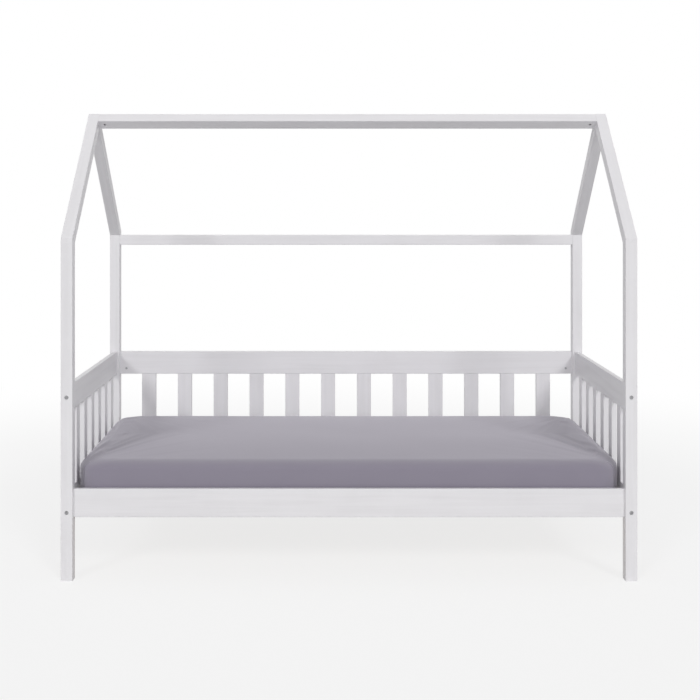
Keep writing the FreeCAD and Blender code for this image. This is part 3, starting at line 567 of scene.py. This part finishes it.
def in_from_hem_line(x, y):
    """How far a spot lies inside the hem's line seen from above: below zero outside it."""
    over_x = abs(x) - (half_length - tuck - hem_corner)
    over_y = abs(y) - (half_width - tuck - hem_corner)
    outside = math.hypot(max(over_x, 0), max(over_y, 0))
    return hem_corner - outside - min(max(over_x, over_y), 0)


cover = Finish(bpy.data.materials.new("knitted_cover"))
wale_pitch = 0.0011
rib = (cover.coordinate("X") * (2 * math.pi / wale_pitch)).maths("SINE") * 0.5 + 0.5
course = (cover.coordinate("Y") * (2 * math.pi / wale_pitch)).maths("SINE") * 0.5 + 0.5
knit = rib * 0.6 + course * 0.4
slub = cover.noise(cover.own_place(), 90, 3)
knitted_cover = cover.surface({
    "Base Color": cover.between(knit * 0.35 + slub * 0.65,
                                (0.74, 0.735, 0.71, 1), (0.84, 0.835, 0.81, 1)),
    "Roughness": 0.85,
    "Sheen Weight": 0.2,
    "Sheen Roughness": 0.5,
    "Normal": cover.raised(knit * 0.7 + slub * 0.3, 0.0003),
})

core_skin = sheet_high.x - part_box("mattress_core")[1].x
quilt_pitch = 0.110
quilt_depth = 0.0035
quilt_fullness = 0.45
pressed_reach = 0.045
pressed_end = 0.006
quilt_start = 0.004
quilt_full = 0.030
core_under = (0.026, 0.036, 0.050, 0.066, field_inset)
core_mesh = mattress_mesh("mattress", core_skin, core_under, 0)
for vertex in core_mesh.vertices:
    spot = vertex.co
    if spot.z < sheet_low.z + core_skin + level_slack:
        inside = in_from_hem_line(spot.x, spot.y)
        first_line = math.sin(math.pi * (spot.x + spot.y) / quilt_pitch)
        second_line = math.sin(math.pi * (spot.x - spot.y) / quilt_pitch)
        sewn_in = 1 - abs(first_line * second_line) ** quilt_fullness
        # The sheet's turned-under edge presses into the foam, and inside it the quilting shows.
        from_edge = min(half_length - abs(spot.x), half_width - abs(spot.y))
        pressed = ease(from_edge, bottom_round, pressed_reach)
        pressed *= 1 - ease(inside, pressed_end, quilt_full)
        spot.z += hem_height * pressed + quilt_depth * sewn_in * ease(inside, quilt_start, quilt_full)
core = mesh_piece("mattress", core_mesh, knitted_cover, "mattress")
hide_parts("mattress_core")


# ---- Fitted sheet ----------------------------------------------------------------------------
# Grey-lilac cotton cut as one cloth with a dart sewn at each corner, drawn over the mattress and
# gathered under it by an elastic hem. It pulls into shallow folds that fan out from the corners.

fold_height = 0.0075
fold_waves = ((26, 0.40), (45, 0.35), (71, 0.25))
fold_twist = 3
fold_start, fold_full, fold_fading, fold_end = 0.03, 0.12, 0.15, 0.75
fan_full, fan_end = 0.15, 0.95
least_folded = 0.12
slack_height = 0.0006
slack_start, slack_full = 0.02, 0.12
pucker_start = 0.03
pucker_pitch = 0.034
pucker_wander = 2.2
pucker_share = 0.8


def fan_of_folds(from_end, from_side, seed):
    """Folds that run out from a corner: how far the cloth stands up, given the ways in from it."""
    away = math.hypot(from_end, from_side) + 0.001
    turn = math.atan2(from_end, from_side)
    folds = 0.0
    for number, (waves_to_radian, share) in enumerate(fold_waves):
        folds += share * math.sin(waves_to_radian * turn + seed * (number + 1.7) + fold_twist * away)
    # They are strongest along the mattress's end and die out across it.
    near_end = least_folded + (1 - least_folded) * (1 - ease(turn, fan_full, fan_end))
    fade = ease(away, fold_start, fold_full) * (1 - ease(away, fold_fading, fold_end))
    return fold_height * (0.5 + 0.5 * folds) * near_end * fade


def slack_at(x, y):
    """How the cloth lies a little slack between its pulls, from -1 to 1."""
    along = math.sin(7 * x + 2 * math.sin(5 * y))
    across = math.sin(9 * y + 1.5 * math.sin(4 * x))
    return along * across


sheet_cloth = Finish(bpy.data.materials.new("lilac_cotton"))
thread_pitch = 0.0006
weft = (sheet_cloth.coordinate("X") * (2 * math.pi / thread_pitch)).maths("SINE") * 0.5 + 0.5
warp = (sheet_cloth.coordinate("Y") * (2 * math.pi / thread_pitch)).maths("SINE") * 0.5 + 0.5
upright = (sheet_cloth.coordinate("Z") * (2 * math.pi / thread_pitch)).maths("SINE") * 0.5 + 0.5
weave = weft * 0.35 + warp * 0.35 + upright * 0.3
uneven = sheet_cloth.noise(sheet_cloth.own_place(), 1300, 2)
worn = sheet_cloth.noise(sheet_cloth.own_place(), 5, 3)
lilac_cotton = sheet_cloth.surface({
    "Base Color": sheet_cloth.between(weave * 0.25 + uneven * 0.35 + worn * 0.4,
                                      (0.212, 0.192, 0.246, 1), (0.246, 0.226, 0.282, 1)),
    "Roughness": 0.78 + 0.12 * uneven,
    "Specular IOR Level": 0.3,
    "Sheen Weight": 0.62,
    "Sheen Roughness": 0.65,
    "Sheen Tint": (0.97, 0.95, 1.0, 1),
    "Normal": sheet_cloth.raised(weave * 0.6 + uneven * 0.4, 0.00006),
})

under_start = 0.012
under_step = 0.010
under_steps = 10
sheet_under = tuple(bottom_round + under_start + under_step * step for step in range(under_steps))
sheet_mesh = mattress_mesh("fitted_sheet", 0, sheet_under, hem_corner)
side_top = sheet_high.z - crown_rise - shoulder_height
for vertex in sheet_mesh.vertices:
    spot = vertex.co
    from_end = half_length - abs(spot.x)
    from_side = half_width - abs(spot.y)
    # Each corner has a seed of its own, so that no two fans are alike.
    seed = (1.3 if spot.x < 0 else 4.1) + (0.6 if spot.y < 0 else 2.9)
    if spot.z > side_top:
        lift = fan_of_folds(from_end, from_side, seed)
        loose = ease(min(from_end, from_side), slack_start, slack_full)
        spot.z += lift + slack_height * slack_at(spot.x, spot.y) * loose
    elif spot.z < sheet_low.z + level_slack:
        # Under the mattress the hem's elastic gathers the cloth into puckers.
        edge_in = min(from_end, from_side)
        along = spot.x if from_side < from_end else spot.y
        wave = math.sin(2 * math.pi * along / pucker_pitch + pucker_wander * math.sin(along * 11))
        spot.z += hem_height * pucker_share * ease(edge_in, pucker_start, tuck) * (0.5 + 0.5 * wave)
sheet = mesh_piece("fitted_sheet_cloth", sheet_mesh, lilac_cotton, "mattress")
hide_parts("fitted_sheet")
cloth_thickness = 0.0008
thickness = sheet.modifiers.new("thickness", "SOLIDIFY")
thickness.thickness = cloth_thickness
thickness.offset = -1


# ---- Hem and corner seams --------------------------------------------------------------------
# The sheet's edge is folded over an elastic and sewn down, so that it draws up in fine gathers.
# Each corner's dart is closed by a flat felled seam from the mattress's upper edge to the hem.

gather_pitch = 0.009
hem_half_width = 0.006
hem_finer = 4
hem_section = 8
gathered = 0.18
section_rings = []
for step in range(hem_section):
    angle = 2 * math.pi * step / hem_section
    reach = hem_half_width * math.cos(angle)
    section = ring(tuck - reach, hem_corner + reach, 0, hem_finer)
    section_rings.append((section, reach, math.sin(angle)))
hem_rows = []
for spot in range(len(section_rings[0][0])):
    gather = math.sin(2 * math.pi * spot * cell / hem_finer / gather_pitch + math.sin(spot * 0.21))
    row = []
    for points, reach, up in section_rings:
        point = points[spot].copy()
        plump = hem_height / 2 * (1 - gathered + gathered * gather * abs(math.cos(reach * 90)))
        point.z = sheet_low.z + hem_height / 2 + plump * up
        row.append(point)
    hem_rows.append(row)
hem = mesh_piece("elastic_hem", rows_mesh("elastic_hem", hem_rows, True, True), lilac_cotton,
                 "mattress")

seam_half_width = 0.0035
seam_rise = 0.0007
seam_section = ((-1, -0.6), (-0.85, 0.8), (-0.3, 1), (0.1, 0.55), (0.85, 0.8), (1, -0.6))
seam_side_steps = 12
seam_levels = []
for degrees in range(40, 91, 5):
    angle = math.radians(degrees)
    seam_levels.append((shoulder_width * (1 - math.sin(angle)),
                        sheet_high.z - crown_rise - shoulder_height * (1 - math.cos(angle))))
for step in range(1, seam_side_steps):
    seam_levels.append((0, side_top + (sheet_low.z + bottom_round - side_top) * step / seam_side_steps))
for degrees in range(0, 91, 15):
    angle = math.radians(degrees)
    seam_levels.append((bottom_round * (1 - math.cos(angle)),
                        sheet_low.z + bottom_round * (1 - math.sin(angle))))
seams = []
for side_x in (-1, 1):
    for side_y in (-1, 1):
        out = Vector((side_x, side_y, 0)).normalized()
        across = Vector((-out.y, out.x, 0))
        line = []
        for inset, height in seam_levels:
            radius = corner_radius(inset)
            centre = Vector((side_x * (half_length - inset - radius),
                             side_y * (half_width - inset - radius), height))
            line.append(centre + out * radius)
            sit(line[-1], sheet_low.z, sheet_high.z - crown_rise)
        rows = []
        for number, spot in enumerate(line):
            way = (line[min(number + 1, len(line) - 1)] - line[max(number - 1, 0)]).normalized()
            face = across.cross(way).normalized()
            if face.dot(out + Vector((0, 0, 0.2 if spot.z > side_top else -0.2))) < 0:
                face = -face
            stitch = 0.75 + 0.25 * math.sin(number * 2.1)
            rows.append([
                spot + across * (share * seam_half_width) + face * (seam_rise * lift * stitch)
                for share, lift in seam_section
            ])
        seams.append(rows_mesh("seam", rows, True, False))
corner_seams = mesh_piece("sheet_corner_seams", one_mesh("sheet_corner_seams", seams), lilac_cotton,
                          "mattress")

# What the cloth takes past the top's level field: over the shoulder, down the side, round its lower
# edge and under the mattress, and the hem's own turned edge.
hem_allowance = 0.025
over_the_side = profile(0)
fall = sum(math.dist(start, end) for start, end in zip(over_the_side, over_the_side[1:]))
turned_down = fall + tuck - bottom_round + hem_allowance
flat_width = 2 * (half_width - field_inset + turned_down)
flat_length = 2 * (half_length - field_inset + turned_down)
corner_cut = turned_down - field_inset
flat_width * flat_length - 4 * corner_cut ** 2


# ---- Floor and light -------------------------------------------------------------------------
# A plain pale floor that runs out into a white surround, two wide soft lights from the front, left
# and right, and an even dome of light.

white = (1, 1, 1, 1)
floor_mesh = bpy.data.meshes.new("floor")
floor_half = 30
floor_corners = [(floor_half * x, floor_half * y, 0) for x, y in ((-1, -1), (1, -1), (1, 1), (-1, 1))]
floor_mesh.from_pydata(floor_corners, [], [(0, 1, 2, 3)])
floor = bpy.data.objects.new("floor", floor_mesh)
bpy.context.scene.collection.objects.link(floor)


def seen_straight(finish):
    """1 for what the camera sees, also mirrored or through something clear, and 0 for the rest."""
    shown = finish.node("LightPath", {}, {}, "Is Camera Ray")
    for output in ("Is Glossy Ray", "Is Transmission Ray"):
        shown = shown.maths("MAXIMUM", finish.node("LightPath", {}, {}, output))
    return shown


ground = Finish(bpy.data.materials.new("pale_floor"))
from_middle = ground.node("VectorMath", {"operation": "LENGTH"},
                          {0: ground.node("TexCoord", {}, {}, "Object")}, "Value")
paling_start, paling_end = 1.6, 4.5
far = ground.eased(from_middle, paling_start, paling_end)
grit = ground.noise(ground.node("TexCoord", {}, {}, "Object"), 420, 3)
matt = ground.node("BsdfPrincipled", {}, {
    "Base Color": ground.between(grit, (0.74, 0.74, 0.74, 1), (0.80, 0.80, 0.80, 1)),
    "Roughness": 0.9,
})
glow = ground.node("Emission", {}, {"Color": white, "Strength": 1.0})
near_glow = 0.78
glow_share = seen_straight(ground) * (near_glow + (1 - near_glow) * far)
lit = ground.node("MixShader", {}, {0: glow_share, 1: matt, 2: glow})
ground.node("OutputMaterial", {}, {"Surface": lit})
floor_mesh.materials.append(ground.owner)

studio = bpy.data.worlds.new("studio")
bpy.context.scene.world = studio
dome = Finish(studio)
sky_height = dome.node("SeparateXYZ", {}, {0: dome.node("TexCoord", {}, {}, "Generated")}, "Z")
overhead = 0.33 + 0.08 * sky_height.maths("MAXIMUM", 0.0)
shown = seen_straight(dome)
backdrop = dome.node("Background", {}, {"Color": white, "Strength": overhead * (1 - shown) + shown})
dome.node("OutputWorld", {}, {"Surface": backdrop})

sun_width = 14


def soft_sun(name, turn, rise, strength):
    """A wide, even light from far off in front, turned and raised from straight ahead."""
    data = bpy.data.lights.new(name, "SUN")
    data.angle = math.radians(sun_width)
    data.energy = strength
    sun = bpy.data.objects.new(name, data)
    across = math.cos(math.radians(rise))
    away = Vector((math.sin(math.radians(turn)) * across, -math.cos(math.radians(turn)) * across,
                   math.sin(math.radians(rise))))
    sun.rotation_euler = away.to_track_quat("Z", "Y").to_euler()
    bpy.context.scene.collection.objects.link(sun)


soft_sun("left_light", turn=-30, rise=28, strength=0.86)
soft_sun("right_light", turn=26, rise=32, strength=1.04)

bpy.context.scene.view_settings.view_transform = "Standard"


# ---- Camera ----------------------------------------------------------------------------------
# It looks level across the bed from the front, a little above the middle of the frame's height.

camera_data = bpy.data.cameras.new("camera")
camera_data.sensor_width = 36
camera_data.lens = 59.6
camera_data.shift_x = 0.0246
camera_data.shift_y = -0.217
camera = bpy.data.objects.new("camera", camera_data)
camera.location = (-0.059, -4.6985, 1.392)
camera.rotation_euler = (math.radians(90), 0, 0)
bpy.context.scene.collection.objects.link(camera)
bpy.context.scene.camera = camera
